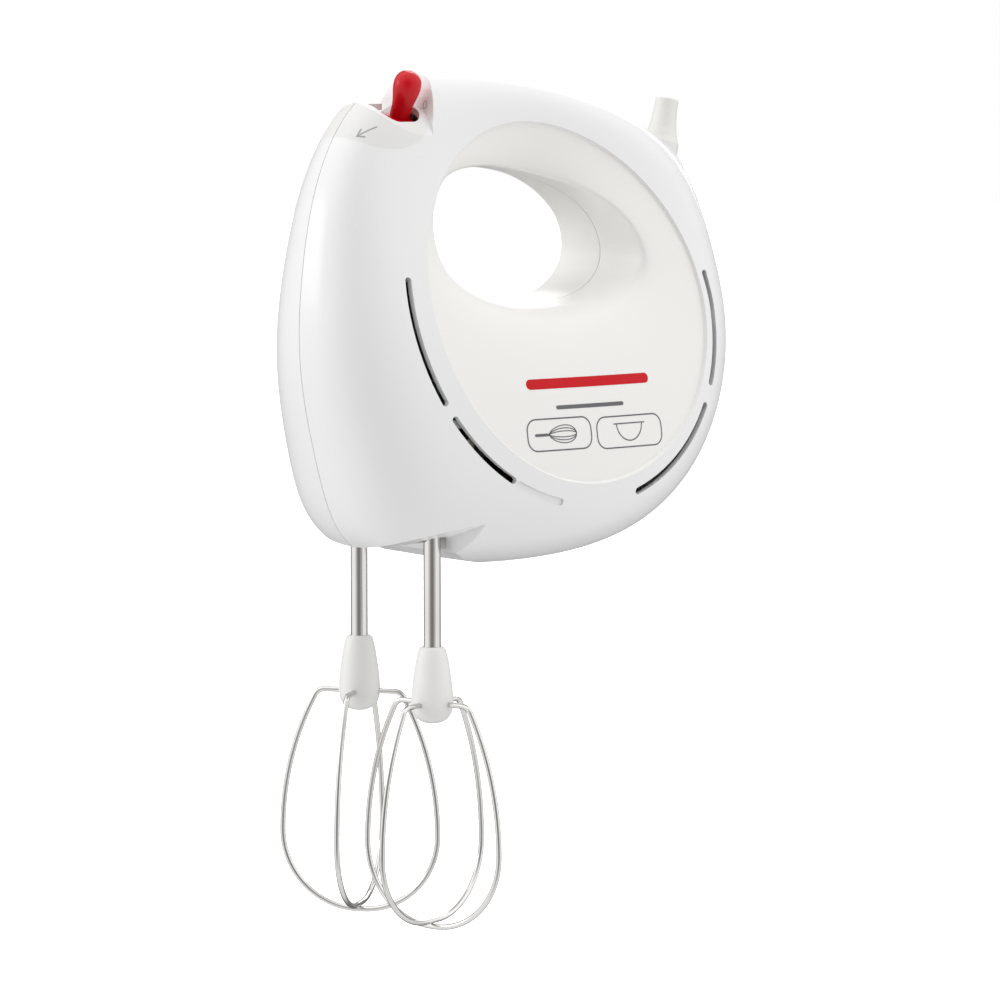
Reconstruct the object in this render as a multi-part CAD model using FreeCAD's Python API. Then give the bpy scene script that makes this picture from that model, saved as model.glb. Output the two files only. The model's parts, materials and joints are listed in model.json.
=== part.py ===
"""Hand mixer with a ring-shaped body, two wire whisks and a thumb lever.  Millimetres, +Z up.

The whisks point down, the nose points to -Y and the halves of the housing meet on the plane X = 0.
All shapes are drawn from the nose: Y = 0 is the plane of the two whisk shafts and Z = 0 is the lowest
edge of the nose.  save() moves them, so that the origin of the part is the middle of the hand grip.
"""
import FreeCAD, Part
import math
import os

V = FreeCAD.Vector
X_AXIS, Y_AXIS, Z_AXIS = V(1, 0, 0), V(0, 1, 0), V(0, 0, 1)

# ---- driving dimensions -------------------------------------------------------------------------
GRIP = V(0, 50, 151)          # middle of the hand grip, the origin of the finished part
SHAFT_SPACING = 42.0          # between the two whisk shafts
WALL = 2.2                    # wall of the housing
SEAM = 0.15                   # half of the gap between the two halves of the housing
RING_CENTRE = (50.0, 107.0)   # (y, z) that the sections of the ring body are taken around
RING_STEPS = 48
WIDTH_LOW, WIDTH_SLOPE = 45.5, 0.233   # half width at Z = 20, and how fast it narrows upwards
FLANK_POWER = 2.7             # roundness of the outer flank, a superellipse
LIP_DEPTH, LIP_WIDTH = 1.2, 0.8        # step from the rim down to the side panel
MOUTH_DEPTH = 20.0            # how far out the straight part of the finger tunnel can reach

DRIVE_Z = 34.0                # height of the motor shaft and of the middle of the worm wheels
WHEEL_TEETH, WORM_STARTS = 28, 2
MODULE = 1.0
WHEEL_PITCH_R = MODULE * WHEEL_TEETH / 2
WORM_PITCH_R = SHAFT_SPACING / 2 - WHEEL_PITCH_R
TOOTH_TIP, TOOTH_ROOT, BACKLASH = 1.0, 1.25, 0.2
WHEEL_WIDTH = 10.0
MOTOR_SHAFT_R = 3.0
CORE_Y = (40.0, 68.0)         # the stack of motor laminations, along the motor shaft
RUNNING = 0.05                # radial clearance of a running fit

SHAFT_R = 3.1                 # whisk shaft
SHAFT_TOP = 53.5
HUB_TOP, HUB_BOTTOM = -35.3, -62.7
WIRE_R = 1.0
WIRE_START_Z = -55.5          # where the wires leave the hub
WHISK_BOTTOM = -136.2         # centre of the lower wire where the two cross
WHISK_TURN = {"left": 13.8, "right": 35.5}   # degrees from +X to the first wire, at rest

LEVER_PIVOT = V(0, -1.5, 139.5)
LEVER_LEAN = 21.5             # degrees that the lever leans to the left in its off position
DOME_R = 14.2                 # the cap on the lever that closes the slot from below
SADDLE_R = 17.5               # floor of the recess that the lever stands in
SADDLE_HALF_WIDTH = 18.8      # where that floor would meet the height of the pivot; outside the flanks
SLOT_EDGE = 14.5              # left end of the lever's slot
SLOT_END_R, SLOT_CORNER_R = 6.0, 1.8   # its corners there, and everywhere else
NOSE_BACK_R, NOSE_BACK_Y = 17.4, -16.4     # the nose is round behind, seen from above
BELLY_FRONT_R = 82.0          # roundness of the belly behind the whisk shafts, seen from above
PIN_R = 1.2                   # the pin that joins the lever to its gimbal
TRUNNION_R = 1.8              # the gimbal turns on these in the lever bracket
ROD_R = 2.5
ROD_Y = -17.5                 # eject rod, pushed by the front arm of the lever's gimbal

# Outlines of the ring body, (y, z): where the halves meet outside, the rim round the side panel,
# and the finger hole.
OUTLINE = [(143.5, 85), (138.5, 114), (130, 133.5), (115, 147), (85, 159.5), (50, 166.5), (15, 168), (-12, 162),
           (-30, 141), (-41, 101), (-42.3, 62), (-34.5, 27), (-22.5, 0), (5, -7.5), (50, -8.5), (95, 1),
           (128, 29)]
RIM = [(122, 85), (115, 110), (98, 131), (72, 146), (40, 150), (12, 137), (-5, 108), (-5.5, 76), (10, 43.5),
       (40, 23.4), (75, 23.2), (108, 44)]
HOLE = [(98, 101.5), (95, 111), (85, 120.7), (66, 129), (44, 133.5), (22, 133.6), (8, 128.5), (3, 113),
        (7, 99), (22, 89.5), (48, 84.6), (77, 85), (92, 90.5)]

# Vents in the flank beside the rim: first and last angle round RING_CENTRE, in degrees
VENTS = [(190, 224), (229, 250), (287, 317), (323, 350)]
BLIND_VENT = (252, 264)       # a shallow pocket that carries on the line of the vents
VENT_WIDTH = 2.6
SCREWS = [(-31, 62), (-28, 116), (127, 78), (100, 12), (20, 3), (84, 151)]   # (y, z) of the housing screws

os.makedirs("parts", exist_ok=True)


# ---- helpers ------------------------------------------------------------------------------------
def save(name, *shapes):
    shape = shapes[0] if len(shapes) == 1 else Part.makeCompound(list(shapes))
    if not shape.isValid():
        print("INVALID", name)
    moved = shape.copy()
    moved.translate(-GRIP)
    moved.exportStep("parts/%s.step" % name)


def box(x, y, z):
    return Part.makeBox(x[1] - x[0], y[1] - y[0], z[1] - z[0], V(x[0], y[0], z[0]))


def rod(radius, start, end):
    line = end - start
    return Part.makeCylinder(radius, line.Length, start, line)


def tube(outer, inner, start, end):
    return rod(outer, start, end).cut(rod(inner, start, end))


def both_sides(shape):
    return [shape, shape.mirror(V(0, 0, 0), X_AXIS)]


def prism(points, x0, x1):
    """A (y, z) polygon drawn out along X."""
    corners = [V(x0, y, z) for y, z in points]
    return Part.Face(Part.makePolygon(corners + corners[:1])).extrude(V(x1 - x0, 0, 0))


def lathe(profile, start, axis):
    """(radius, distance) points turned about axis, from start."""
    side = axis.cross(X_AXIS if abs(axis.x) < 0.9 else Y_AXIS).normalize()
    corners = [start + side * r + axis * d for r, d in profile]
    face = Part.Face(Part.makePolygon(corners + corners[:1]))
    return face.revolve(start, axis, 360)


def coil(radius, wire_radius, turns, start, end):
    """A round wire wound on a helix, as one smooth tube with flat ends."""
    around, per_turn = 8, 12
    wind = radius * 3 / (2 + math.cos(2 * math.pi / per_turn))
    thick = wire_radius * 3 / (2 + math.cos(2 * math.pi / around))
    line = end - start
    rows = []
    for k in range(turns * per_turn + 1):
        turn = 2 * math.pi * k / per_turn
        out = V(math.cos(turn), math.sin(turn), 0)
        centre = out * wind + Z_AXIS * (line.Length * k / (turns * per_turn))
        rows.append([centre + out * thick * math.cos(a) + Z_AXIS * thick * math.sin(a)
                     for a in (2 * math.pi * i / around for i in range(around))])
    tube_face = surface(rows)
    caps = [Part.Face(Part.Wire(tube_face.vIso(v).toShape())) for v in tube_face.bounds()[2:]]
    skin = Part.makeShell([tube_face.toShape()] + caps)
    skin.sewShape(0.001)
    spring = Part.makeSolid(skin)
    if spring.Volume < 0:
        spring.reverse()
    spring.Placement = FreeCAD.Placement(start, FreeCAD.Rotation(Z_AXIS, line))
    return spring


# ---- ring body ----------------------------------------------------------------------------------
def angle_of(index):
    return 2 * math.pi * index / RING_STEPS


def radii(points, angles):
    """Distance of a closed outline from RING_CENTRE at each angle."""
    curve = Part.BSplineCurve()
    curve.interpolate([V(0, y, z) for y, z in points], PeriodicFlag=True)
    spots = [V(p.y - RING_CENTRE[0], p.z - RING_CENTRE[1], 0) for p in curve.toShape().discretize(1200)]
    polar = sorted((math.atan2(p.y, p.x) % (2 * math.pi), p.Length) for p in spots)
    result = []
    for angle in angles:
        before = max(range(len(polar)), key=lambda k: (polar[k][0] <= angle, polar[k][0]))
        low, high = polar[before], polar[(before + 1) % len(polar)]
        share = ((angle - low[0]) / (high[0] - low[0])) if high[0] > low[0] else 0.5
        result.append(low[1] + share * (high[1] - low[1]))
    return result


def spot(x, radius, angle):
    return V(x, RING_CENTRE[0] + radius * math.cos(angle), RING_CENTRE[1] + radius * math.sin(angle))


def surface(rows):
    """A smooth face whose control points are the given rows, each row closed on itself."""
    count, around = len(rows), len(rows[0])
    degree = min(3, count - 1)
    knots = count - degree + 1
    patch = Part.BSplineSurface()
    patch.buildFromPolesMultsKnots(
        [[line[i] for line in rows] for i in range(around)],
        [1] * (around + 1), [degree + 1] + [1] * (knots - 2) + [degree + 1],
        [float(k) for k in range(around + 1)], [float(k) for k in range(knots)], True, False, 3, degree)
    return patch


def ring_half(inset, seam=SEAM):
    """The +X half of the ring body as a full solid, its skin moved inwards by inset."""
    angles = [angle_of(i) for i in range(RING_STEPS)]
    outer = [r - inset for r in radii(OUTLINE, angles)]
    rim = radii(RIM, angles)
    hole = [r + inset for r in radii(HOLE, angles)]
    heights = [RING_CENTRE[1] + r * math.sin(a) for r, a in zip(rim, angles)]
    width = [WIDTH_LOW - (z - 20) * WIDTH_SLOPE - inset for z in heights]
    mouth = [MOUTH_DEPTH * math.tanh((w + inset - 8) / MOUTH_DEPTH) + 5.3 * math.cos(a) ** 2 + 2.5 * math.cos(a)
             - 0.6 * inset for w, a in zip(width, angles)]

    def row(x, r):
        return [spot(*values) for values in zip(x, r, angles)]

    flank = []
    for turn in range(0, 91, 10):
        out = math.cos(math.radians(turn)) ** (2 / FLANK_POWER) if turn < 90 else 0.0
        up = math.sin(math.radians(turn)) ** (2 / FLANK_POWER)
        distance = [b + (o - b) * out for o, b in zip(outer, rim)]
        flank.append(row([seam + (w - seam) * up for w in width], distance))
    edge = row([w - LIP_DEPTH for w in width], [r - LIP_WIDTH for r in rim])
    panel = []
    for share in (1, 0.82, 0.62, 0.44, 0.28, 0.15, 0.06, 0):
        rise = 0.7 * (1 - (1 - share) ** 2.6) ** (1 / 2.6) + 0.3 * share
        panel.append(row([m + (w - LIP_DEPTH - m) * rise for w, m in zip(width, mouth)],
                         [h + (r - LIP_WIDTH - h) * share for h, r in zip(hole, rim)]))
    for share in (0.66, 0.33, 0):
        panel.append(row([seam + (m - seam) * share for m in mouth], hole))

    patches = [surface(flank), surface([flank[-1], edge]), surface(panel)]
    outside = Part.Wire(patches[0].vIso(patches[0].bounds()[2]).toShape())
    inside = Part.Wire(patches[2].vIso(patches[2].bounds()[3]).toShape())
    seam_face = Part.Face(outside).cut(Part.Face(inside))
    skin = Part.makeShell([p.toShape() for p in patches] + seam_face.Faces)
    skin.sewShape(0.001)
    solid = Part.makeSolid(skin)
    if solid.Volume < 0:
        solid.reverse()
    return solid


def band(first, last, inner_gap, outer_gap, x0, x1):
    """A slot along the rim between two angles, with round ends, drawn out along X."""
    angles = [math.radians(first + (last - first) * k / 8) for k in range(9)]
    base = [r + 6.0 + 2.8 * math.cos(a - math.radians(205)) for r, a in zip(radii(RIM, angles), angles)]
    lines = []
    for gap in (inner_gap, outer_gap):
        curve = Part.BSplineCurve()
        curve.interpolate([spot(x0, r + gap, a) for r, a in zip(base, angles)])
        lines.append(curve.toShape())
    middle_r = (base[0] + (inner_gap + outer_gap) / 2, base[-1] + (inner_gap + outer_gap) / 2)
    reach = (outer_gap - inner_gap) / 2
    low = spot(x0, middle_r[0], angles[0] - reach / middle_r[0])
    high = spot(x0, middle_r[1], angles[-1] + reach / middle_r[1])
    ends = [Part.Arc(spot(x0, base[k] + inner_gap, angles[k]), p, spot(x0, base[k] + outer_gap, angles[k])).toShape()
            for k, p in ((0, low), (-1, high))]
    outline = Part.Wire(Part.__sortEdges__(lines + ends))
    return Part.Face(outline).extrude(V(x1 - x0, 0, 0))


BODY = ring_half(0)
CAVITY = ring_half(WALL)


def nose_scoop(grow):
    """What is cut away under the nose: a slightly arched face with the rounded belly behind it."""
    block = box((-60, 60), (-70, 41 + grow), (-60, 25))
    arch = rod(82 - grow, V(0, -90, 82), V(0, 90, 82))
    front = rod(BELLY_FRONT_R - grow, V(0, 1.5 + BELLY_FRONT_R, -80), V(0, 1.5 + BELLY_FRONT_R, 60))
    slope = prism([(-1, 60), (-1, 8), (2.5 + grow, 3), (6 + grow, -1.8), (13 + grow, -5), (24 + grow, -7.3),
                   (41 + grow, -9.8), (200, -9.8), (200, 60)], -60, 60)
    return block.cut(arch).cut(front.common(slope))


def lever_recess(grow):
    """The saddle across the top that the lever stands in, between the round back of the nose and the handle."""
    low, high = LEVER_PIVOT.z - 1, 175
    behind = [(3 + grow, low), (4 + grow, 150), (7 + grow, 162), (13 + grow, high)]
    block = prism([(-36, high), (-36, low)] + behind, -40, 40)
    nose_back = Part.makeCone(NOSE_BACK_R + 1 - grow, NOSE_BACK_R - 3 - grow, high - low,
                              V(0, NOSE_BACK_Y - NOSE_BACK_R, low), Z_AXIS)
    middle = V(0, -60, LEVER_PIVOT.z)
    side, top = middle + X_AXIS * (SADDLE_HALF_WIDTH - grow), middle + Z_AXIS * (SADDLE_R - grow)
    outline = Part.Ellipse(side, top, middle)
    floor = Part.Face(Part.Wire(outline.toShape())).extrude(Y_AXIS * 120)
    return block.cut([nose_back, floor])


def lever_slot():
    """The opening in the saddle: across for the speeds, and forwards at both ends to eject."""
    height = (LEVER_PIVOT.z + 2, 165)
    across = box((-11.2, SLOT_EDGE), (-6.2, 3.0), height)
    forwards = [box((2.0, SLOT_EDGE), (-14.5, 3.0), height), box((-11.2, -2.0), (-12.8, 3.0), height)]
    slot = across.fuse(forwards).removeSplitter()
    upright = [e for e in slot.Edges if abs(e.tangentAt(e.FirstParameter).z) > 0.99]
    ends = [e for e in upright if abs(e.CenterOfMass.x - SLOT_EDGE) < 0.1]
    corners = [e.CenterOfMass for e in upright if abs(e.CenterOfMass.x - SLOT_EDGE) > 0.1]
    rounded = slot.makeFillet(SLOT_END_R, ends)
    rest = [e for e in rounded.Edges if any((e.CenterOfMass - c).Length < 0.1 for c in corners)]
    return rounded.makeFillet(SLOT_CORNER_R, rest)


GUARD_AXIS = V(0, math.sin(math.radians(12)), math.cos(math.radians(12)))
GUARD_TOP = V(0, 130.8, 158.0)
GUARD_BORE_R = 3.2
GUARD_LENGTH = 25.5


def guard_point(depth):
    return GUARD_TOP - GUARD_AXIS * depth


def cord_guard(grow=0.0):
    """Strain relief sleeve: a tapered neck, a flange sunk in the housing and a flange behind its wall."""
    neck = [(0, 0), (3.9, 0), (4.3, 0.4), (4.4, 4), (4.75, 8), (5.3, 11.5), (6.1, 14.5), (6.9, 16.5), (6.9, 21),
            (5.3, 21), (5.3, 23.5), (7.6, 23.5), (7.6, GUARD_LENGTH), (0, GUARD_LENGTH)]
    profile = [(r + grow if r else 0, d) for r, d in neck]
    return lathe(profile, GUARD_TOP, -GUARD_AXIS)


def housing_half():
    shape = BODY.cut(CAVITY)
    floor = nose_scoop(WALL).common(BODY).cut(nose_scoop(0))
    saddle = lever_recess(WALL).common(BODY).cut(lever_recess(0))
    shape = shape.cut(nose_scoop(0)).cut(lever_recess(0)).fuse([floor, saddle])
    bosses = [rod(4.0, V(SEAM, y, z), V(60, y, z)).common(BODY).cut(nose_scoop(0)) for y, z in SCREWS]
    collar = rod(7.0, V(SHAFT_SPACING / 2, 0, 0), V(SHAFT_SPACING / 2, 0, 7.5)).cut(nose_scoop(0))
    cup = lathe([(0, 5), (8.2, 5), (8.2, 14), (11.5, 30), (0, 30)], GUARD_TOP, -GUARD_AXIS)
    cup = cup.common(ring_half(-1.5)).cut(CAVITY)
    shape = shape.fuse(bosses + [collar, cup])
    for first, last in VENTS:
        shape = shape.cut(band(first, last, -VENT_WIDTH / 2, VENT_WIDTH / 2, 10, 60))
    pocket = band(*BLIND_VENT, -VENT_WIDTH / 2, VENT_WIDTH / 2, 10, 60).cut(ring_half(0.8))
    shape = shape.cut(pocket)
    shape = shape.cut(rod(SHAFT_HOLE_R, V(SHAFT_SPACING / 2, 0, -30), V(SHAFT_SPACING / 2, 0, 20)))
    return shape.cut(cord_guard(0.05)).cut(rod(6.95, guard_point(5), guard_point(20)))


def rim_prism(inset):
    angles = [angle_of(i) for i in range(RING_STEPS)]
    curve = Part.BSplineCurve()
    curve.interpolate([spot(-60, r - inset, a) for r, a in zip(radii(RIM, angles), angles)], PeriodicFlag=True)
    return Part.Face(Part.Wire(curve.toShape())).extrude(V(120, 0, 0))


def make_housing():
    """Both halves of the housing, each with its side panel, and the screws that hold them together."""
    half, slot = housing_half(), lever_slot()
    split = rim_prism(LIP_WIDTH / 2)
    panel, shell = half.common(split), half.cut(split)
    left, right = shell, shell.mirror(V(0, 0, 0), X_AXIS)
    left, right = left.cut(slot), right.cut(slot)
    screws = []
    for y, z in SCREWS:
        seat = V(-10, y, z)
        left = left.cut(rod(1.6, V(0, y, z), V(10.8, y, z)))
        right = right.cut([rod(1.75, V(0, y, z), seat), rod(3.5, seat, V(-60, y, z))])
        head = rod(3.1, V(-12.4, y, z), seat)
        cross = [box((-13, -11.2), (y - a, y + a), (z - b, z + b)) for a, b in ((2, 0.4), (0.4, 2))]
        screws.append(rod(1.6, seat, V(10.5, y, z)).fuse(head).cut(cross))
    save("left_shell", left)
    save("right_shell", right)
    save("left_panel", panel)
    save("right_panel", panel.mirror(V(0, 0, 0), X_AXIS))
    save("cord_guard", cord_guard().cut(rod(GUARD_BORE_R, guard_point(-1), guard_point(30))))
    save("housing_screws", *screws)


def inside_housing(shape):
    """The part of a bracket that lies clear of the housing's walls, bosses and collars."""
    room = ring_half(WALL + 0.1, 0)
    halves = [shape.common(room), shape.common(room.mirror(V(0, 0, 0), X_AXIS))]
    trimmed = halves[0].fuse(halves[1]).removeSplitter()
    posts = [rod(4.2, V(-60, y, z), V(60, y, z)) for y, z in SCREWS]
    return trimmed.cut([nose_scoop(WALL + 0.1), lever_recess(WALL + 0.1)] + posts)


# ---- drive --------------------------------------------------------------------------------------
def twisted(points, turn, start, end, steps):
    """A (x, y) outline drawn out along Z from start to end while it turns by turn radians."""
    wires = []
    for k in range(steps + 1):
        part = k / steps
        a, z = turn * part, start + (end - start) * part
        ring = [V(x * math.cos(a) - y * math.sin(a), x * math.sin(a) + y * math.cos(a), z) for x, y in points]
        wires.append(Part.makePolygon(ring + ring[:1]))
    return Part.makeLoft(wires, True, True)


def polar(radius, angle):
    return radius * math.cos(angle), radius * math.sin(angle)


def half_tooth(offset, radius):
    """Half the thickness of a tooth, as an angle, at a height above the pitch line."""
    return (math.pi * MODULE / 4 - BACKLASH - offset * math.tan(math.radians(20))) / radius


def worm_wheel():
    """Helical wheel about Z at the origin, with a gap of the teeth towards -X at its middle height."""
    tip, root = WHEEL_PITCH_R + TOOTH_TIP, WHEEL_PITCH_R - TOOTH_ROOT
    points = []
    for k in range(WHEEL_TEETH):
        middle = math.pi + math.pi / WHEEL_TEETH + 2 * math.pi * k / WHEEL_TEETH
        low, high = half_tooth(-TOOTH_ROOT, WHEEL_PITCH_R), half_tooth(TOOTH_TIP, WHEEL_PITCH_R)
        for radius, angle in ((root, middle - low), (tip, middle - high), (tip, middle + high), (root, middle + low)):
            points.append(polar(radius, angle))
    slope = WORM_STARTS * MODULE / (2 * WORM_PITCH_R)
    turn = slope * WHEEL_WIDTH / WHEEL_PITCH_R
    wheel = twisted(points, turn, -WHEEL_WIDTH / 2, WHEEL_WIDTH / 2, 2)
    wheel.rotate(V(0, 0, 0), Z_AXIS, -math.degrees(turn) / 2)
    return wheel


def worm():
    """Two-start worm along Y at the origin, with a thread crest on +X and on -X at its middle."""
    tip, root = WORM_PITCH_R + TOOTH_TIP, WORM_PITCH_R - TOOTH_ROOT
    lead = math.pi * MODULE * WORM_STARTS
    per_mm = 2 * math.pi / lead
    half = math.pi * MODULE / 4 - BACKLASH
    low = (half + TOOTH_ROOT * math.tan(math.radians(20))) * per_mm
    high = (half - TOOTH_TIP * math.tan(math.radians(20))) * per_mm
    points = []
    for start in range(WORM_STARTS):
        base = start * math.pi
        for radius, angle in ((root, -low), (tip, -high), (tip, high), (root, low), (root, math.pi / 2)):
            points.append(polar(radius, base + angle))
    length = 18.0
    turns = length / lead * 2 * math.pi
    thread = twisted(points, turns, 0, length, 36)
    thread.rotate(V(0, 0, 0), Z_AXIS, -math.degrees(turns) / 2)
    thread.translate(V(0, 0, -length / 2))
    thread.rotate(V(0, 0, 0), X_AXIS, -90)
    return thread


SHAFT_HOLE_R = 5.2
SLEEVE_R, SLEEVE_NECK_R = 6.25, 4.75
LOWER_BUSH_Z, UPPER_BUSH_Z = (8.5, 13.0), (43.5, 46.5)
BOLTS = [(x, DRIVE_Z + dz) for x in (-22, 22) for dz in (-18, 18)]
FRAME_FRONT, FRAME_REAR, BRACKET_Y = (-19, -16), (16, 19), (90, 94)


def spindle_place(side):
    return SHAFT_SPACING / 2 * (1 if side == "left" else -1)


def make_spindles():
    wheel = worm_wheel()
    for side in ("left", "right"):
        x = spindle_place(side)
        axis_point = V(x, 0, 0)
        sleeve = rod(SLEEVE_R, V(x, 0, 9), V(x, 0, 41.5)).fuse(rod(SLEEVE_NECK_R, V(x, 0, 41.5), V(x, 0, 47)))
        sleeve = sleeve.cut([rod(SHAFT_R + 0.07, V(x, 0, 0), V(x, 0, 50)), ears(side, 0.3, (0, 27))])
        own = wheel.copy()
        if side == "right":
            own.rotate(V(0, 0, 0), Y_AXIS, 180)
        own.translate(axis_point + V(0, 0, DRIVE_Z))
        web = tube(10.5, 8.4, V(x, 0, DRIVE_Z + 3), V(x, 0, DRIVE_Z + 6))
        save(side + "_worm_wheel", own.cut([rod(SLEEVE_R, V(x, 0, 0), V(x, 0, 60)), web]))
        save(side + "_spindle", sleeve)


def ears(side, grow, z_range):
    """The two drive lugs of a whisk shaft, turned with the whisk."""
    x = spindle_place(side)
    lug = box((x - 4.6 - grow, x + 4.6 + grow), (-0.9 - grow, 0.9 + grow), z_range)
    lug.rotate(V(x, 0, 0), Z_AXIS, WHISK_TURN[side] + 45)
    return lug


def make_gear_frame():
    plates = [box((-60, 60), (-19, 19), LOWER_BUSH_Z[:1] + (11.5,)), box((-60, 60), (-19, 19), UPPER_BUSH_Z)]
    walls = [box((-14, 14), FRAME_FRONT, (8.5, 46.5)), box((-27, 27), FRAME_REAR, (8.5, 57))]
    frame = inside_housing(plates[0].fuse(plates[1:] + walls))
    centre = V(0, 0, DRIVE_Z)
    holes = [rod(5.5, centre + V(0, -30, 0), centre + V(0, 30, 0))]
    for side in ("left", "right"):
        x = spindle_place(side)
        holes += [rod(8.5, V(x, 0, 0), V(x, 0, 20)), rod(7.0, V(x, 0, 40), V(x, 0, 60))]
    holes += [rod(2.0, V(x, 0, z), V(x, 30, z)) for x, z in BOLTS]
    save("gear_frame", frame.cut(holes))
    lower, upper = [], []
    for side in ("left", "right"):
        x = spindle_place(side)
        lower.append(tube(8.5, SLEEVE_R + RUNNING, V(x, 0, LOWER_BUSH_Z[0]), V(x, 0, LOWER_BUSH_Z[1])))
        upper.append(tube(7.0, SLEEVE_NECK_R + RUNNING, V(x, 0, UPPER_BUSH_Z[0]), V(x, 0, UPPER_BUSH_Z[1])))
    save("lower_spindle_bushes", *lower)
    save("upper_spindle_bushes", *upper)
    save("worm_bushes", *[tube(5.5, MOTOR_SHAFT_R + RUNNING, V(0, y[0], DRIVE_Z), V(0, y[1], DRIVE_Z))
                          for y in (FRAME_FRONT, FRAME_REAR)])


def on_motor(y, dx=0.0, dz=0.0):
    return V(dx, y, DRIVE_Z + dz)


def make_motor():
    """Universal motor: the armature, the field that surrounds it, the brushes and the rear bracket."""
    bore = rod(MOTOR_SHAFT_R, on_motor(-60), on_motor(140))
    save("motor_shaft", rod(MOTOR_SHAFT_R, on_motor(-18.5), on_motor(96)))
    thread = worm()
    thread.translate(on_motor(0))
    save("worm", thread.cut(bore))

    slots, bars = [], []
    for k in range(12):
        x, z = polar(10.9, math.pi * k / 6)
        slots.append(rod(1.7, on_motor(CORE_Y[0], x, z), on_motor(CORE_Y[1], x, z)))
        bars.append(rod(1.6, on_motor(CORE_Y[0] - 2, x, z), on_motor(CORE_Y[1] + 2, x, z)))
    core = rod(13.2, on_motor(CORE_Y[0]), on_motor(CORE_Y[1])).cut(slots + [bore])
    save("rotor_core", core)
    ends = [(4, 0), (11, 0), (12.6, 1.5), (12.6, 4), (9.5, 6), (4, 6)]
    front = lathe(ends, on_motor(CORE_Y[0]), -Y_AXIS)
    rear = lathe(ends, on_motor(CORE_Y[1]), Y_AXIS)
    save("rotor_windings", front.fuse([rear] + bars))
    grooves = []
    for k in range(12):
        blade = box((6.5, 10), (75, 88), (-0.25, 0.25))
        blade.rotate(V(0, 0, 0), Y_AXIS, 30 * k)
        blade.translate(V(0, 0, DRIVE_Z))
        grooves.append(blade)
    save("commutator", tube(8.5, MOTOR_SHAFT_R, on_motor(76), on_motor(87)).cut(grooves))

    fan = rod(6.0, on_motor(23), on_motor(33)).fuse(rod(18.5, on_motor(31.8), on_motor(33)))
    blades = []
    for k in range(11):
        blade = box((5, 18.5), (23.5, 32), (-0.6, 0.6))
        blade.rotate(V(5, 0, 0), Y_AXIS, 20)
        blade.rotate(V(0, 0, 0), Y_AXIS, 360 * k / 11)
        blade.translate(V(0, 0, DRIVE_Z))
        blades.append(blade)
    save("cooling_fan", fan.fuse(blades).cut(bore))

    stack = box((-27, 27), CORE_Y, (DRIVE_Z - 24, DRIVE_Z + 24))
    stack = stack.makeFillet(6, [e for e in stack.Edges if abs(e.tangentAt(e.FirstParameter).y) > 0.99])
    windows, coils = [rod(13.6, on_motor(0), on_motor(120))], []
    for z in ((10, 19), (-19, -10)):
        windows += [box(x, CORE_Y, (DRIVE_Z + z[0], DRIVE_Z + z[1])) for x in ((9, 18.8), (-18.8, -9))]
        loop = box((-18.5, 18.5), (35.5, 72.5), (DRIVE_Z + z[0] + 0.5, DRIVE_Z + z[1] - 0.5))
        loop = loop.makeFillet(4, [e for e in loop.Edges if abs(e.tangentAt(e.FirstParameter).z) > 0.99])
        core_space, rotor_space = box((-9.3, 9.3), (39.6, 68.4), (0, 80)), rod(13.3, on_motor(30), on_motor(80))
        coils.append(loop.cut([core_space, rotor_space]))
    windows += [rod(2.05, V(x, 0, z), V(x, 120, z)) for x, z in BOLTS]
    save("stator_core", stack.cut(windows))
    save("field_coils", *coils)

    bracket = box((-27, 27), BRACKET_Y, (DRIVE_Z - 6, DRIVE_Z + 6))
    for x, z in BOLTS:
        bracket = bracket.fuse(rod(5, V(x, BRACKET_Y[0], z), V(x, BRACKET_Y[1], z)))
    bracket = bracket.fuse([box(x, BRACKET_Y, (DRIVE_Z - 18, DRIVE_Z + 18)) for x in ((-25, -19), (19, 25))])
    arms = [box(x, (84.5, 90), (DRIVE_Z - 4, DRIVE_Z + 4)) for x in ((16, 24), (-24, -16))]
    bracket = bracket.fuse(arms + [rod(9, on_motor(88.5), on_motor(96.5))])
    holes = [rod(2.05, V(x, 0, z), V(x, 120, z)) for x, z in BOLTS] + [rod(6, on_motor(80), on_motor(120))]
    save("motor_bracket", bracket.cut(holes))
    save("rear_bush", tube(6, MOTOR_SHAFT_R + RUNNING, on_motor(88.5), on_motor(96.5)))
    save("motor_bolts", *[rod(2.0, V(x, 15.8, z), V(x, 94, z)).fuse(rod(3.2, V(x, 94, z), V(x, 95.8, z)))
                          for x, z in BOLTS])
    holder = box((10, 24), (77.5, 84.5), (DRIVE_Z - 3.8, DRIVE_Z + 3.8)).cut(
        box((9, 22.8), (79, 83), (DRIVE_Z - 2.5, DRIVE_Z + 2.5)))
    carbon = box((8.75, 16.5), (79.1, 82.9), (DRIVE_Z - 2.4, DRIVE_Z + 2.4))
    spring = coil(1.7, 0.3, 5, on_motor(81, 16.9), on_motor(81, 22.4))
    save("brush_holders", *both_sides(holder))
    save("carbon_brushes", *both_sides(carbon))
    save("brush_springs", *both_sides(spring))


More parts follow.
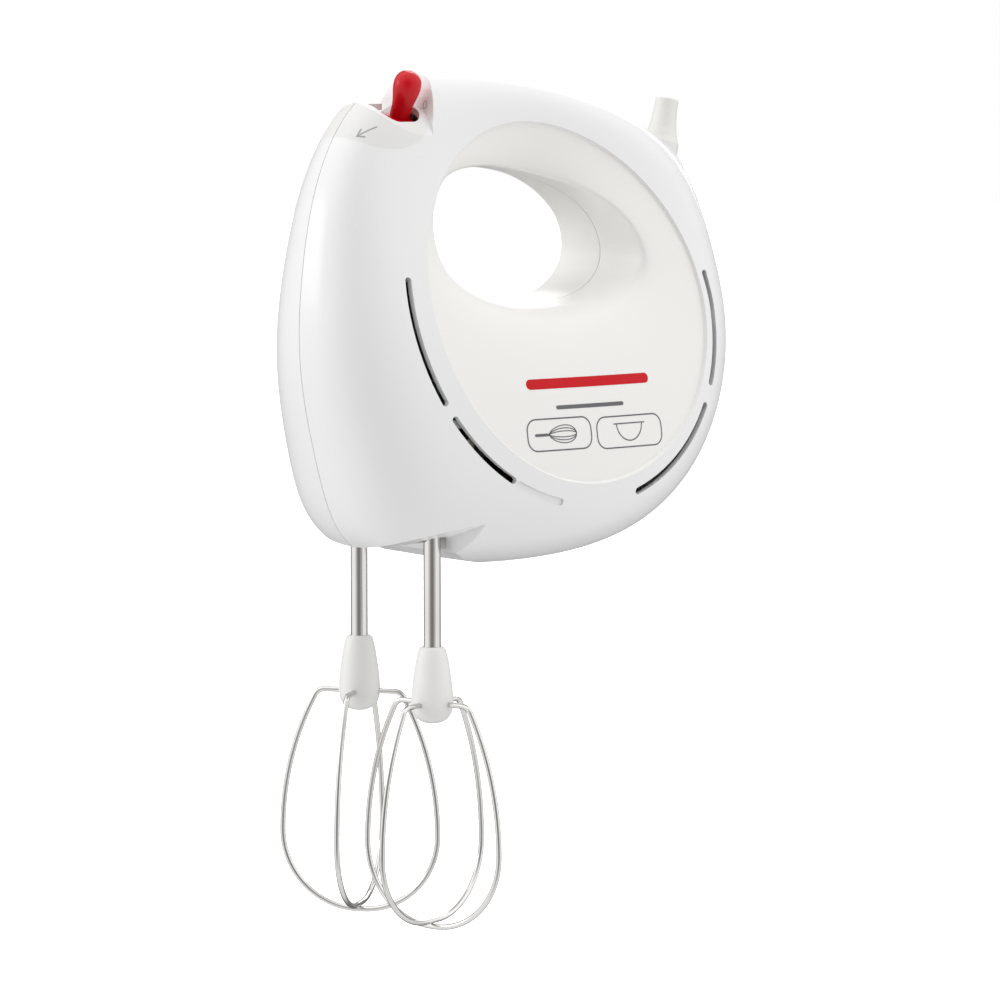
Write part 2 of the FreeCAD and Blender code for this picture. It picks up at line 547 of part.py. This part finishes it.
# ---- whisks -------------------------------------------------------------------------------------
def wire_loop(bottom):
    """One whisk wire in the XZ plane: out of the hub, round the bottom and back in."""
    widest, widest_z, corner_r, fall = 29.4, -108.0, 4.0, math.radians(62)
    sweep_r = (WIRE_START_Z - corner_r * (1 - math.cos(fall)) - widest_z) / math.cos(fall)
    corner_x = widest - sweep_r * (1 - math.sin(fall)) - corner_r * math.sin(fall)
    base_r = widest_z - bottom

    def on_corner(a):
        return V(corner_x + corner_r * math.sin(a), 0, WIRE_START_Z - corner_r * (1 - math.cos(a)))

    def on_sweep(a):
        return V(widest - sweep_r * (1 - math.sin(a)), 0, widest_z + sweep_r * math.cos(a))

    def on_base(a):
        return V(widest - base_r * (1 - math.cos(a)), 0, widest_z - base_r * math.sin(a))

    half = [Part.makeLine(V(SHAFT_R + 0.4, 0, WIRE_START_Z), on_corner(0)),
            Part.Arc(on_corner(0), on_corner(fall / 2), on_corner(fall)).toShape(),
            Part.Arc(on_sweep(fall), on_sweep((fall + math.pi / 2) / 2), on_sweep(math.pi / 2)).toShape(),
            Part.Arc(on_base(0), on_base(math.pi / 4), on_base(math.pi / 2)).toShape()]
    flat = Part.makeLine(on_base(math.pi / 2), V(0, 0, bottom))
    half.append(flat)
    path = Part.Wire(half)
    profile = Part.Wire(Part.makeCircle(WIRE_R, V(SHAFT_R + 0.4, 0, WIRE_START_Z), X_AXIS))
    solid = path.makePipeShell([profile], True, False, 1)
    return solid.fuse(solid.mirror(V(0, 0, 0), X_AXIS)).removeSplitter()


def whisk_hub():
    top, bottom = HUB_TOP, HUB_BOTTOM
    side = Part.BSplineCurve()
    side.interpolate([V(4.8, 0, top - 0.6), V(5.6, 0, top - 3.5), V(6.4, 0, top - 8), V(7.05, 0, top - 12.7),
                      V(7.45, 0, top - 17), V(7.5, 0, top - 20.5), V(6.9, 0, bottom + 3.8), V(5.0, 0, bottom + 1.3),
                      V(2.5, 0, bottom + 0.2), V(0, 0, bottom)])
    edges = [side.toShape(), Part.makeLine(V(0, 0, bottom), V(0, 0, top)),
             Part.makeLine(V(0, 0, top), V(4.2, 0, top)), Part.makeLine(V(4.2, 0, top), V(4.8, 0, top - 0.6))]
    return Part.Face(Part.Wire(Part.__sortEdges__(edges))).revolve(V(0, 0, 0), Z_AXIS, 360)


def make_whisks():
    lower, upper = wire_loop(WHISK_BOTTOM), wire_loop(WHISK_BOTTOM + 2 * WIRE_R + 0.1)
    upper.rotate(V(0, 0, 0), Z_AXIS, 90)
    shaft_end = HUB_BOTTOM + 4.7
    hub = whisk_hub().cut([rod(SHAFT_R, V(0, 0, shaft_end), V(0, 0, 0)), lower, upper])
    for side in ("left", "right"):
        x = spindle_place(side)
        shaft = rod(SHAFT_R, V(x, 0, shaft_end), V(x, 0, SHAFT_TOP - 1.2))
        shaft = shaft.fuse(Part.makeCone(SHAFT_R, SHAFT_R - 1, 1.2, V(x, 0, SHAFT_TOP - 1.2)))
        shaft = shaft.cut(rod(SHAFT_R - 0.7, V(x, 0, shaft_end - 1), V(x, 0, SHAFT_TOP - 6)))
        save(side + "_whisk_shaft", shaft.fuse(ears(side, 0, (21, 25))))
        for name, shape in (("hub", hub), ("wire_lower", lower), ("wire_upper", upper)):
            own = shape.copy()
            own.rotate(V(0, 0, 0), Z_AXIS, WHISK_TURN[side])
            own.translate(V(x, 0, 0))
            save("%s_whisk_%s" % (side, name), own)


# ---- lever, switch and eject linkage ------------------------------------------------------------
SWITCH_ARM = 9.0
LEVER_LINE = V(math.sin(math.radians(LEVER_LEAN)), 0, math.cos(math.radians(LEVER_LEAN)))


def make_lever():
    pivot = LEVER_PIVOT
    dome = Part.makeSphere(DOME_R, pivot).cut(Part.makeSphere(DOME_R - 1.6, pivot))
    rim_at = DOME_R * math.cos(math.radians(54))
    dome = dome.common(rod(DOME_R + 1, pivot + LEVER_LINE * rim_at, pivot + LEVER_LINE * (DOME_R + 1)))
    pear = [(3.6, 12.9), (3.7, 15.5), (3.8, 18.5), (4.45, 22), (4.95, 25.5), (4.4, 28.5), (2.6, 30.4), (0, 30.7)]
    foot, tip = pear[0][1], pear[-1][1]
    line = Part.BSplineCurve()
    line.interpolate([pivot + V(0, 1, 0) * r + LEVER_LINE * d for r, d in pear])
    edges = [line.toShape(), Part.makeLine(pivot + LEVER_LINE * tip, pivot + LEVER_LINE * foot),
             Part.makeLine(pivot + LEVER_LINE * foot, pivot + LEVER_LINE * foot + V(0, pear[0][0], 0))]
    stem = Part.Face(Part.Wire(Part.__sortEdges__(edges))).revolve(pivot, LEVER_LINE, 360)
    core = rod(2.6, pivot, pivot + LEVER_LINE * (foot + 0.2))
    boss = rod(3.3, pivot - Y_AXIS * 5.2, pivot + Y_AXIS * 5.2)
    tail_end = pivot - LEVER_LINE * SWITCH_ARM
    tail = rod(1.6, tail_end, pivot).fuse(Part.makeSphere(2.0, tail_end))
    lever = stem.fuse([dome, core, boss, tail])
    save("speed_lever", lever.cut(rod(PIN_R, pivot - Y_AXIS * 9, pivot + Y_AXIS * 9)))
    save("lever_pin", rod(PIN_R, pivot - Y_AXIS * 7.5, pivot + Y_AXIS * 7.5))

    y, z = pivot.y, pivot.z
    ring = box((-11.5, 11.5), (y - 7.5, y + 7.5), (z - 1.5, z + 1.5))
    arm = box((-3, 3), (ROD_Y - 3, y - 7), (z - 1.5, z + 1.5))
    trunnions = rod(TRUNNION_R, V(-14.6, y, z), V(14.6, y, z))
    window = box((-8.5, 8.5), (y - 5.5, y + 5.5), (z - 5, z + 5))
    pin_hole = rod(PIN_R + RUNNING, pivot - Y_AXIS * 9, pivot + Y_AXIS * 9)
    gimbal = ring.fuse([trunnions, arm]).cut([window, pin_hole])
    save("lever_gimbal", gimbal)

    low = z - 18
    cheeks = [box(side, (y - 3.2, y + 3.2), (low, z + 2.6)) for side in ((12.2, 15.2), (-15.2, -12.2))]
    base = box((-15.2, 15.2), (-11, 1.5), (low, low + 3))
    mount = inside_housing(base.fuse(cheeks)).cut(rod(TRUNNION_R + RUNNING, V(-20, y, z), V(20, y, z)))
    save("lever_bracket", mount)

    ball = pivot - LEVER_LINE * SWITCH_ARM
    slider = box((ball.x - 5, ball.x + 5), (-5, 2.2), (low + 3.2, low + 10))
    groove = box((ball.x - 2.3, ball.x + 2.3), (-4.4, 6), (low + 6.5, low + 15))
    save("switch_slider", slider.cut(groove))
    body = box((-10, 10), (-11.4, -0.9), (low - 13, low))
    tabs = [box((dx - 1.2, dx + 1.2), (-6.6, -5.8), (low - 19, low - 13)) for dx in (-6, 0, 6)]
    save("speed_switch", body.fuse(tabs))


def make_eject():
    bar = box((-26, 26), (-5, 5), (SHAFT_TOP + 0.3, SHAFT_TOP + 3.3)).fuse(
        box((-6, 6), (ROD_Y - 4, 0), (SHAFT_TOP + 0.3, SHAFT_TOP + 3.3)))
    rounded = bar.removeSplitter()
    upright = [e for e in rounded.Edges if abs(e.tangentAt(e.FirstParameter).z) > 0.99]
    save("eject_plate", rounded.makeFillet(3, upright))
    top = LEVER_PIVOT.z - 1.5 - 0.3
    round_end = V(0, ROD_Y, top - ROD_R)
    push = rod(ROD_R, V(0, ROD_Y, SHAFT_TOP + 3.3), round_end).fuse(
        [Part.makeSphere(ROD_R, round_end), rod(5.0, V(0, ROD_Y, 121.7), V(0, ROD_Y, 123.7))])
    save("eject_rod", push)
    guide = inside_housing(box((-60, 60), (-25, -11), (95, 101)))
    save("rod_guide", guide.cut(rod(ROD_R + RUNNING, V(0, ROD_Y, 90), V(0, ROD_Y, 110))))
    save("eject_spring", coil(3.9, 0.45, 8, V(0, ROD_Y, 101.5), V(0, ROD_Y, 121.2)))


make_housing()
make_gear_frame()
make_spindles()
make_motor()
make_whisks()
make_lever()
make_eject()
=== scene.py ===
"""Looks of the hand mixer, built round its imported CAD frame.  Metres, +Z up, -Y the nose."""
import json
import math

import bpy
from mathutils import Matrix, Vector
from mathutils.bvhtree import BVHTree


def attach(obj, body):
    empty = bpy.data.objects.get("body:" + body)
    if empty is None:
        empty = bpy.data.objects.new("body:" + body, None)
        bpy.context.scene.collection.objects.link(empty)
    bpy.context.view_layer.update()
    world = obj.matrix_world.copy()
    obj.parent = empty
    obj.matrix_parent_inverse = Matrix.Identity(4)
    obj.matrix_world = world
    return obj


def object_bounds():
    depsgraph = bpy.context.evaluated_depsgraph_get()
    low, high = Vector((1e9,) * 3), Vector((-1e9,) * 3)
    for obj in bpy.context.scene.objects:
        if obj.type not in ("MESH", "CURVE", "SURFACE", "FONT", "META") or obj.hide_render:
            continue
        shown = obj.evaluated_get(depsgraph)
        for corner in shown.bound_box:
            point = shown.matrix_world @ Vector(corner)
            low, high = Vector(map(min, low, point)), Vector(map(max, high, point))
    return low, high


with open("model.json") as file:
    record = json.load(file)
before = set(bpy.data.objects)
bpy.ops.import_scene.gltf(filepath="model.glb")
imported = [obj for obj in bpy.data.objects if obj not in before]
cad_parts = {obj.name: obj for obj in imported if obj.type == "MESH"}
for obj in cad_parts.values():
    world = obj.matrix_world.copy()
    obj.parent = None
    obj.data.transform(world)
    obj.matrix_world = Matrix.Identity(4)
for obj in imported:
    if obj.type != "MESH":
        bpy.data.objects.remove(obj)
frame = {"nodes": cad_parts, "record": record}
cad_box = [list(corner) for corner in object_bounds()]
nodes = frame["nodes"]
record = frame["record"]
scene = bpy.context.scene

# ---- camera ---------------------------------------------------------------------------------------
AZIMUTH, PITCH = math.radians(50.0), math.radians(5.8)     # round from the nose, and down
TARGET = Vector((0.02416, -0.0212, -0.13547))
DISTANCE = 1.54
SENSOR, FOCAL_WIDTHS = 36.0, 4.3     # mm, and the focal length in picture widths
CLIP_START = 0.05

forward = Vector((-math.sin(AZIMUTH) * math.cos(PITCH),
                  math.cos(AZIMUTH) * math.cos(PITCH),
                  -math.sin(PITCH)))
rightward = Vector((math.cos(AZIMUTH), math.sin(AZIMUTH), 0))
camera = bpy.data.objects.new("camera", bpy.data.cameras.new("camera"))
scene.collection.objects.link(camera)
camera.data.sensor_width = SENSOR
camera.data.lens = SENSOR * FOCAL_WIDTHS
camera.data.clip_start = CLIP_START
camera.location = TARGET - forward * DISTANCE
camera.rotation_euler = forward.to_track_quat("-Z", "Y").to_euler()
scene.camera = camera

# ---- materials ------------------------------------------------------------------------------------
NOISE_LOW, NOISE_HIGH = 0.3, 0.7          # nearly all of a noise's values lie between these
MOTTLE_SCALE, GLOSS_SCALE = 25, 60        # noise scales of the slow changes in a moulding
SKIN_SCALE, SKIN_DEPTH = 900, 0.00002     # a moulding's fine skin
MOTTLE, MATT_MOTTLE = 0.004, 0.006        # how far a moulding's colour strays
LIGHT_PART = 0.6                          # what part of that it strays to the light side
MOULDED_GLOSS = (0.9, 1.12)               # the range of a moulding's roughness, as factors
METAL_SCALE, METAL_MOTTLE = 30, 0.06
LINE_SCALE, LINE_DEPTH = 900, 0.000004    # the lines left by drawing and turning
METAL_GLOSS = (0.7, 1.4)
# The patch round the lever is matt, and its grey is partly painted shade of the recess there.
PATCH_MIDDLE, PATCH_RADII = (-0.0640, 0.0080), (0.0205, 0.0180)     # y, z of the patch round the lever
PATCH_FADE = 0.985                        # the patch fades from this part of its radius outward


class Graph:
    """A material's nodes, with short ways to add and join them."""

    def __init__(self, name):
        self.material = bpy.data.materials.new(name)
        self.material.use_nodes = True
        self.tree = self.material.node_tree
        self.shader = self.tree.nodes["Principled BSDF"]
        self.coord = self.tree.nodes.new("ShaderNodeTexCoord").outputs["Object"]

    def add(self, kind, **values):
        node = self.tree.nodes.new(kind)
        for key, value in values.items():
            if hasattr(node, key):
                setattr(node, key, value)
            else:
                node.inputs[key].default_value = value
        return node

    def join(self, source, target):
        self.tree.links.new(source, target)

    def set(self, **values):
        for key, value in values.items():
            self.shader.inputs[key.replace("_", " ")].default_value = value

    def noise(self, scale, detail, stretch=(1, 1, 1)):
        mapping = self.add("ShaderNodeMapping")
        mapping.inputs["Scale"].default_value = stretch
        self.join(self.coord, mapping.inputs["Vector"])
        noise = self.add("ShaderNodeTexNoise", Scale=scale, Detail=detail)
        self.join(mapping.outputs["Vector"], noise.inputs["Vector"])
        return noise.outputs["Fac"]

    def ramp(self, source, low, high, start=NOISE_LOW, end=NOISE_HIGH):
        """source, as a number from start to end, drawn out to the values low to high."""
        node = self.add("ShaderNodeMapRange")
        for key, value in (("From Min", start), ("From Max", end), ("To Min", low), ("To Max", high)):
            node.inputs[key].default_value = value
        self.join(source, node.inputs["Value"])
        return node.outputs["Result"]

    def tint(self, source, dark, light):
        """The colour dark where source is low, light where it is high."""
        node = self.add("ShaderNodeValToRGB")
        places = ((NOISE_LOW, dark), (NOISE_HIGH, light))
        for stop, (position, colour) in zip(node.color_ramp.elements, places):
            stop.position = position
            stop.color = (*colour, 1)
        self.join(source, node.inputs["Fac"])
        return node.outputs["Color"]

    def calculate(self, operation, first, second=0.0):
        node = self.add("ShaderNodeMath", operation=operation)
        for place, value in enumerate((first, second)):
            if isinstance(value, (int, float)):
                node.inputs[place].default_value = value
            else:
                self.join(value, node.inputs[place])
        return node.outputs["Value"]

    def blend_colours(self, factor, first, second):
        """The colour first where factor is 0, second where it is 1."""
        node = self.add("ShaderNodeMix", data_type="RGBA")
        for place, value in ((0, factor), (6, first), (7, second)):
            self.join(value, node.inputs[place])
        return node.outputs[2]

    def blend_numbers(self, factor, first, second):
        """The number first where factor is 0, second where it is 1."""
        node = self.add("ShaderNodeMix", data_type="FLOAT")
        for place, value in ((0, factor), (2, first), (3, second)):
            self.join(value, node.inputs[place])
        return node.outputs[0]

    def bump(self, source, distance):
        node = self.add("ShaderNodeBump", Strength=1.0, Distance=distance)
        self.join(source, node.inputs["Height"])
        self.join(node.outputs["Normal"], self.shader.inputs["Normal"])


def moulded(name, colour, roughness, shine=0.5):
    """Moulded plastic: slightly uneven colour and gloss, with a fine skin."""
    g = Graph(name)
    g.set(Specular_IOR_Level=shine)
    dark = [max(c - MOTTLE, 0) for c in colour]
    light = [min(c + MOTTLE * LIGHT_PART, 1) for c in colour]
    g.join(g.tint(g.noise(MOTTLE_SCALE, 3), dark, light), g.shader.inputs["Base Color"])
    low, high = (roughness * factor for factor in MOULDED_GLOSS)
    g.join(g.ramp(g.noise(GLOSS_SCALE, 4), low, high), g.shader.inputs["Roughness"])
    g.bump(g.noise(SKIN_SCALE, 2), SKIN_DEPTH)
    return g.material


def metal(name, colour, roughness, stretch=(1, 1, 1)):
    """Bare metal, with fine lines along the axis whose stretch is least."""
    g = Graph(name)
    g.set(Metallic=1.0)
    dark = [max(c - METAL_MOTTLE, 0) for c in colour]
    g.join(g.tint(g.noise(METAL_SCALE, 4), dark, colour), g.shader.inputs["Base Color"])
    lines = g.noise(LINE_SCALE, 3, stretch)
    low, high = (roughness * factor for factor in METAL_GLOSS)
    g.join(g.ramp(lines, low, high), g.shader.inputs["Roughness"])
    g.bump(lines, LINE_DEPTH)
    return g.material


def shaded_patch_mask(g):
    """1 inside the patch round the lever, 0 outside: an ellipse in y and z, open at the top. Inside it
    the shell turns matt and greyer, the grey partly painted shade of the recess round the lever.
    """
    place = g.add("ShaderNodeSeparateXYZ")
    g.join(g.coord, place.inputs["Vector"])
    offsets = []
    for axis, middle, radius in zip("YZ", PATCH_MIDDLE, PATCH_RADII):
        offset = g.calculate("SUBTRACT", place.outputs[axis], middle)
        offsets.append(g.calculate("MULTIPLY", offset, 1 / radius))
    along, above = offsets
    down = g.calculate("MINIMUM", above, 0.0)
    squares = [g.calculate("MULTIPLY", offset, offset) for offset in (along, down)]
    reach = g.calculate("SQRT", g.calculate("ADD", *squares))
    return g.ramp(reach, 1.0, 0.0, PATCH_FADE, 1.0)


def shell_material(name, gloss, matt, gloss_roughness, matt_roughness):
    """Glossy white plastic that turns to a matt, greyer patch round the lever's saddle. The patch's
    grey is partly its own warmer tone and partly painted shade of the recess there.
    """
    g = Graph(name)
    mask = shaded_patch_mask(g)
    mottle = g.noise(MOTTLE_SCALE, 3)
    white = g.tint(mottle, [c - MOTTLE for c in gloss], gloss)
    # the patch's grey: its own warmer tone, darkened as painted shade of the recess round the lever
    grey = g.tint(mottle, [c - MATT_MOTTLE for c in matt], matt)
    g.join(g.blend_colours(mask, white, grey), g.shader.inputs["Base Color"])
    skin = g.noise(GLOSS_SCALE, 4)
    low, high = MOULDED_GLOSS
    smooth, rough = (g.ramp(skin, r * low, r * high) for r in (gloss_roughness, matt_roughness))
    g.join(g.blend_numbers(mask, smooth, rough), g.shader.inputs["Roughness"])
    g.bump(g.noise(SKIN_SCALE, 2), SKIN_DEPTH)
    return g.material


MATERIALS = {
    # the second colour is the lever patch's grey, darkened partly as painted shade
    "white_gloss": shell_material("white_gloss", (0.82, 0.82, 0.82), (0.76, 0.755, 0.74), 0.24, 0.45),
    "panel_satin": moulded("panel_satin", (0.84, 0.832, 0.81), 0.32),
    "guard_white": moulded("guard_white", (0.78, 0.775, 0.75), 0.42),
    "red_gloss": moulded("red_gloss", (0.58, 0.001, 0.008), 0.20, shine=0.28),
    "bright_steel": metal("bright_steel", (0.68, 0.67, 0.655), 0.12, (1, 1, 0.05)),
    "hub_white": moulded("hub_white", (0.80, 0.795, 0.78), 0.38),
    "frame_grey": moulded("frame_grey", (0.30, 0.31, 0.32), 0.45),
    "bush_bronze": metal("bush_bronze", (0.62, 0.42, 0.20), 0.35),
    "iron": metal("iron", (0.20, 0.20, 0.21), 0.5, (1, 12, 1)),
    "copper": metal("copper", (0.72, 0.33, 0.16), 0.3, (6, 1, 6)),
    "carbon": moulded("carbon", (0.03, 0.03, 0.03), 0.6),
    "plain_steel": metal("plain_steel", (0.50, 0.50, 0.51), 0.3, (1, 1, 0.1)),
    "gear_nylon": moulded("gear_nylon", (0.74, 0.70, 0.58), 0.4),
    "black_plastic": moulded("black_plastic", (0.022, 0.022, 0.024), 0.4),
}
slot_of = {part["node"]: part["material_slot"] for part in record["subparts"]}
for name, node in nodes.items():
    for place in node.material_slots:
        place.material = MATERIALS[slot_of[name]]


# ---- printed marks ----------------------------------------------------------------------------------
class Print:
    """Thin ink laid on one CAD node: outlines drawn on a plane are dropped onto the node's surface."""

    LIFT = 0.00006          # how far the ink stands off the surface
    STEP = 0.0008           # the length of one face along a stroke
    LEAST_STEPS = 8         # the fewest faces along a bar
    END_HALF = 0.00001      # half a bar's height at its very ends

    def __init__(self, name, node, origin, across, up, ink, slot):
        self.name, self.ink, self.slot = name, ink, slot
        self.origin = Vector(origin)
        self.across, self.up = Vector(across).normalized(), Vector(up).normalized()
        self.inward = -self.across.cross(self.up)
        mesh = nodes[node].data
        corners = [vertex.co for vertex in mesh.vertices]
        self.tree = BVHTree.FromPolygons(corners, [list(face.vertices) for face in mesh.polygons])
        self.points, self.faces = [], []

    def drop(self, a, b):
        """The number of a new point: where the surface lies behind (a, b) on the plane."""
        start = self.origin + self.across * a + self.up * b
        place = self.tree.ray_cast(start, self.inward)[0]
        self.points.append(place - self.inward * self.LIFT if place else start)
        return len(self.points) - 1

    def line(self, path, width, closed=False):
        """A stroke along the path, with its own width."""
        path = [Vector(p) for p in path]
        if closed:
            path = path + [path[0]]
        fine = []
        for first, second in zip(path, path[1:]):
            count = max(int((second - first).length / self.STEP), 1)
            fine += [first.lerp(second, k / count) for k in range(count)]
        if not closed:
            fine.append(path[-1])
        rows = []
        for k, here in enumerate(fine):
            after = fine[(k + 1) % len(fine)] if closed else fine[min(k + 1, len(fine) - 1)]
            before = fine[k - 1] if closed else fine[max(k - 1, 0)]
            way = (after - before).normalized()
            side = Vector((way.y, -way.x)) * width / 2
            rows.append((self.drop(*(here - side)), self.drop(*(here + side))))
        pairs = zip(rows, rows[1:] + rows[:1]) if closed else zip(rows, rows[1:])
        for (a, b), (c, d) in pairs:
            self.faces.append((a, b, d, c))

    def bar(self, a0, a1, b0, b1):
        """A filled bar with round ends."""
        radius, middle = (b1 - b0) / 2, (b0 + b1) / 2
        count = max(int((a1 - a0) / self.STEP), self.LEAST_STEPS)
        rows = []
        for k in range(count + 1):
            a = (a0 + a1) / 2 - (a1 - a0) / 2 * math.cos(math.pi * k / count)
            into = min(a - a0, a1 - a, radius)
            half = math.sqrt(max(radius**2 - (radius - into)**2, 0)) + self.END_HALF
            rows.append((self.drop(a, middle - half), self.drop(a, middle + half)))
        for (a, b), (c, d) in zip(rows, rows[1:]):
            self.faces.append((a, c, d, b))

    def finish(self):
        mesh = bpy.data.meshes.new(self.name)
        mesh.from_pydata(self.points, [], self.faces)
        mesh.materials.append(self.ink)
        piece = bpy.data.objects.new(self.name, mesh)
        scene.collection.objects.link(piece)
        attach(piece, "housing")


def arc(middle, radius, start, stop, count):
    """Points on an arc, from start to stop in degrees."""
    turns = [math.radians(start + (stop - start) * k / count) for k in range(count + 1)]
    return [(middle[0] + radius * math.cos(t), middle[1] + radius * math.sin(t)) for t in turns]


def rounded(a0, a1, b0, b1, r):
    """The outline of a box with round corners."""
    middles = ((a1 - r, b1 - r), (a0 + r, b1 - r), (a0 + r, b0 + r), (a1 - r, b0 + r))
    return [p for k, middle in enumerate(middles) for p in arc(middle, r, 90 * k, 90 * k + 90, 6)]


def whisk_icon(mark):
    """A balloon whisk that lies on its side: three loops and a handle."""
    start, length, middle, count = -0.0125, 0.0125, -0.1114, 24
    for reach in (0.0012, 0.0024, 0.0036):
        loop = []
        for k in range(count + 1):
            t = math.pi * 2 * k / count
            bulge = reach * math.sin(t) * (0.55 + 0.45 * math.sin(t / 2))
            loop.append((start + length * (1 - math.cos(t)) / 2, middle + bulge))
        mark.line(loop, 0.00035)
    mark.bar(-0.0190, start, -0.1119, -0.1109)


def bowl_icon(mark):
    """A bowl: half a circle under a rim."""
    middle, radius, rim, stroke = (0.0256, -0.1092), 0.0062, (0.0180, 0.0332), 0.00045
    mark.line(arc(middle, radius, 180, 360, 20), stroke)
    mark.line([(y, middle[1]) for y in rim], stroke)


RED_INK = moulded("red_ink", (0.58, 0.003, 0.010), 0.5, shine=0.2)
GREY_INK = moulded("grey_ink", (0.14, 0.14, 0.15), 0.5, shine=0.2)
PALE_INK = moulded("pale_ink", (0.36, 0.36, 0.35), 0.5)
SIDE = ((0.09, 0, 0), (0, 1, 0), (0, 0, 1))                          # a plane beside the left panel
BEHIND_LEVER = ((0.0105, -0.050, 0.0055), (1, 0, 0), (0, 0, 1))
BESIDE_LEVER = ((0.040, -0.0715, 0.025), (0, 1, 0), (-1, 0, 1))
FRAMES = ((-0.0222, 0.0069, -0.1170, -0.1058), (0.0097, 0.0416, -0.1177, -0.1065))     # round the icons
FRAME_CORNER, FRAME_STROKE = 0.004, 0.0005
ZERO_RADII, ZERO_STEPS, ZERO_STROKE = (0.0009, 0.0014), 20, 0.00035
ARROW_STROKE = 0.0005

red = Print("panel_mark_red", "left_panel", *SIDE, RED_INK, "red_gloss")
red.bar(-0.0200, 0.0380, -0.0953, -0.0917)
red.finish()

grey = Print("panel_marks_grey", "left_panel", *SIDE, GREY_INK, "frame_grey")
grey.bar(-0.0080, 0.0240, -0.1027, -0.1013)
for edges in FRAMES:
    grey.line(rounded(*edges, FRAME_CORNER), FRAME_STROKE, closed=True)
whisk_icon(grey)
bowl_icon(grey)
grey.finish()

zero = Print("lever_mark_zero", "left_shell", *BEHIND_LEVER, PALE_INK, "frame_grey")
turns = [math.pi * 2 * k / ZERO_STEPS for k in range(ZERO_STEPS)]
ring = [(ZERO_RADII[0] * math.cos(t), ZERO_RADII[1] * math.sin(t)) for t in turns]
zero.line(ring, ZERO_STROKE, closed=True)
zero.finish()

arrow = Print("lever_mark_arrow", "left_shell", *BESIDE_LEVER, PALE_INK, "frame_grey")
arrow.line([(0.0035, 0.0), (-0.003, 0.0)], ARROW_STROKE)
arrow.line([(-0.0010, 0.0018), (-0.0030, 0.0), (-0.0010, -0.0018)], ARROW_STROKE)
arrow.finish()

# ---- light and floor ------------------------------------------------------------------------------
# The studio's brightness by direction: 0 is away from the first camera and 1 is towards it.
STUDIO = ((0.0, 0.20), (0.18, 0.20), (0.36, 1.0), (0.78, 1.0), (0.93, 0.45), (1.0, 0.15))
HEIGHT_SHARE = (0.05, 0.52)      # added at the bottom and at the top
SIDE_SHARE = (1.0, 0.95)         # added on the first camera's left and on its right
SHARE_SPAN = 0.6                 # sine of the angle over which these change
LIGHT_DISTANCE = 1.3
FLOOR_REACH, FLOOR_GAP = 6.0, 0.004

scene.view_settings.view_transform = "Standard"
world = bpy.data.worlds.new("studio")
scene.world = world
world.use_nodes = True
tree = world.node_tree
background = tree.nodes["Background"]
direction = tree.nodes.new("ShaderNodeTexCoord").outputs["Generated"]


def towards(way):
    """1 in the direction way, -1 in the opposite one."""
    dot = tree.nodes.new("ShaderNodeVectorMath")
    dot.operation = "DOT_PRODUCT"
    dot.inputs[1].default_value = way
    tree.links.new(direction, dot.inputs[0])
    return dot.outputs["Value"]


def studio():
    """The brightness that STUDIO states, by the angle to the first camera."""
    facing = towards(-forward)
    half = tree.nodes.new("ShaderNodeMapRange")
    half.inputs["From Min"].default_value = -1.0
    tree.links.new(facing, half.inputs["Value"])
    shade = tree.nodes.new("ShaderNodeValToRGB")
    stops = shade.color_ramp.elements
    while len(stops) < len(STUDIO):
        stops.new(0.5)
    for stop, (position, level) in zip(stops, STUDIO):
        stop.position = position
        stop.color = (level, level, level, 1)
    tree.links.new(half.outputs["Result"], shade.inputs["Fac"])
    return shade.outputs["Color"]


def share(way, least, most):
    """A number from least, on the side away from way, to most, on the side towards it."""
    facing = towards(way)
    slope = tree.nodes.new("ShaderNodeMapRange")
    slope.interpolation_type = "SMOOTHSTEP"
    ends = (("From Min", -SHARE_SPAN), ("From Max", SHARE_SPAN), ("To Min", least), ("To Max", most))
    for key, value in ends:
        slope.inputs[key].default_value = value
    tree.links.new(facing, slope.inputs["Value"])
    return slope.outputs["Result"]


def joined(operation, first, second):
    node = tree.nodes.new("ShaderNodeMath")
    node.operation = operation
    tree.links.new(first, node.inputs[0])
    tree.links.new(second, node.inputs[1])
    return node.outputs["Value"]


base = studio()
above = share((0, 0, 1), *HEIGHT_SHARE)
beside = share(rightward, *SIDE_SHARE)
strength = joined("MULTIPLY", base, joined("ADD", above, beside))
path = tree.nodes.new("ShaderNodeLightPath")
mix = tree.nodes.new("ShaderNodeMix")
tree.links.new(path.outputs["Is Camera Ray"], mix.inputs["Factor"])
tree.links.new(strength, mix.inputs["A"])
mix.inputs["B"].default_value = 1.0      # the camera itself sees plain white
tree.links.new(mix.outputs["Result"], background.inputs["Strength"])
background.inputs["Color"].default_value = (1, 1, 1, 1)


def soft_light(name, azimuth, elevation, size, power):
    """A square soft box that faces the target, its azimuth counted as the camera's."""
    a, e = math.radians(azimuth), math.radians(elevation)
    light = bpy.data.objects.new(name, bpy.data.lights.new(name, "AREA"))
    light.data.size = size
    light.data.energy = power
    outward = Vector((math.sin(a) * math.cos(e), -math.cos(a) * math.cos(e), math.sin(e)))
    light.location = TARGET + outward * LIGHT_DISTANCE
    light.rotation_euler = (-outward).to_track_quat("-Z", "Y").to_euler()
    scene.collection.objects.link(light)


soft_light("front_softbox", -38, 15, 0.4, 1.5)
soft_light("back_softbox", 215, 30, 0.9, 5)

floor = bpy.data.objects.new("floor", bpy.data.meshes.new("floor"))
level = cad_box[0][2] - FLOOR_GAP
signs = ((-1, -1), (1, -1), (1, 1), (-1, 1))
corners = [(FLOOR_REACH * x, FLOOR_REACH * y, level) for x, y in signs]
floor.data.from_pydata(corners, [], [(0, 1, 2, 3)])
scene.collection.objects.link(floor)
g = Graph("floor")
g.set(Base_Color=(0.9, 0.9, 0.9, 1), Roughness=0.6, Emission_Color=(1, 1, 1, 1), Emission_Strength=0.55)
floor.data.materials.append(g.material)
floor.visible_diffuse = False
floor.visible_glossy = False
floor.visible_shadow = False
